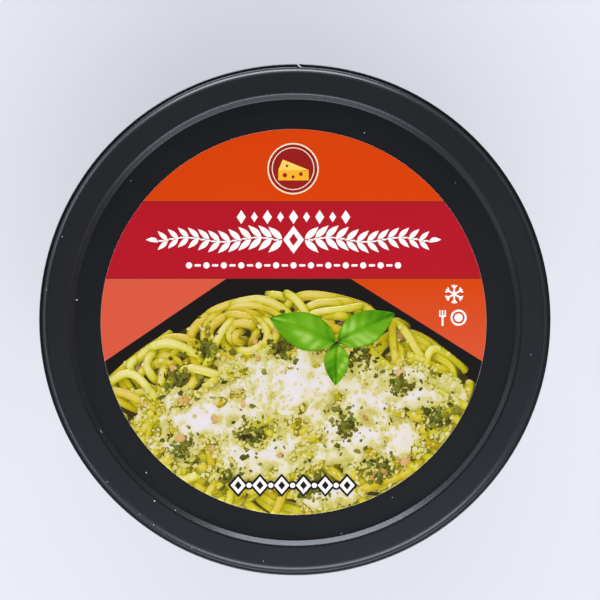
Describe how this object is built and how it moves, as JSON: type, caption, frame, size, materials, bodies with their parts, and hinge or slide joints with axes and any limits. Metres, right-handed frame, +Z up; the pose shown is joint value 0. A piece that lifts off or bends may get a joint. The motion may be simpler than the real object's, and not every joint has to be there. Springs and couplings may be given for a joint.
{
  "type": "tub of grated parmesan",
  "caption": "Shut round tub of grated parmesan: tapered black tub, press-on lid with a sunken panel and skirt, and a round printed label stuck in the panel.",
  "frame": {"origin": "centre of the base, on the surface that the tub stands on", "axes": "+Z up, out through the lid; +Y towards the top of the label"},
  "size_m": [0.1184, 0.1184, 0.052],
  "materials": {
    "tub_plastic": "satin black",
    "lid_plastic": "satin black",
    "label_paper": "glossy varnished print"
  },
  "bodies": {
    "root": {"tub": "tub_plastic", "lid": "lid_plastic", "label": "label_paper"}
  },
  "joints": []
}
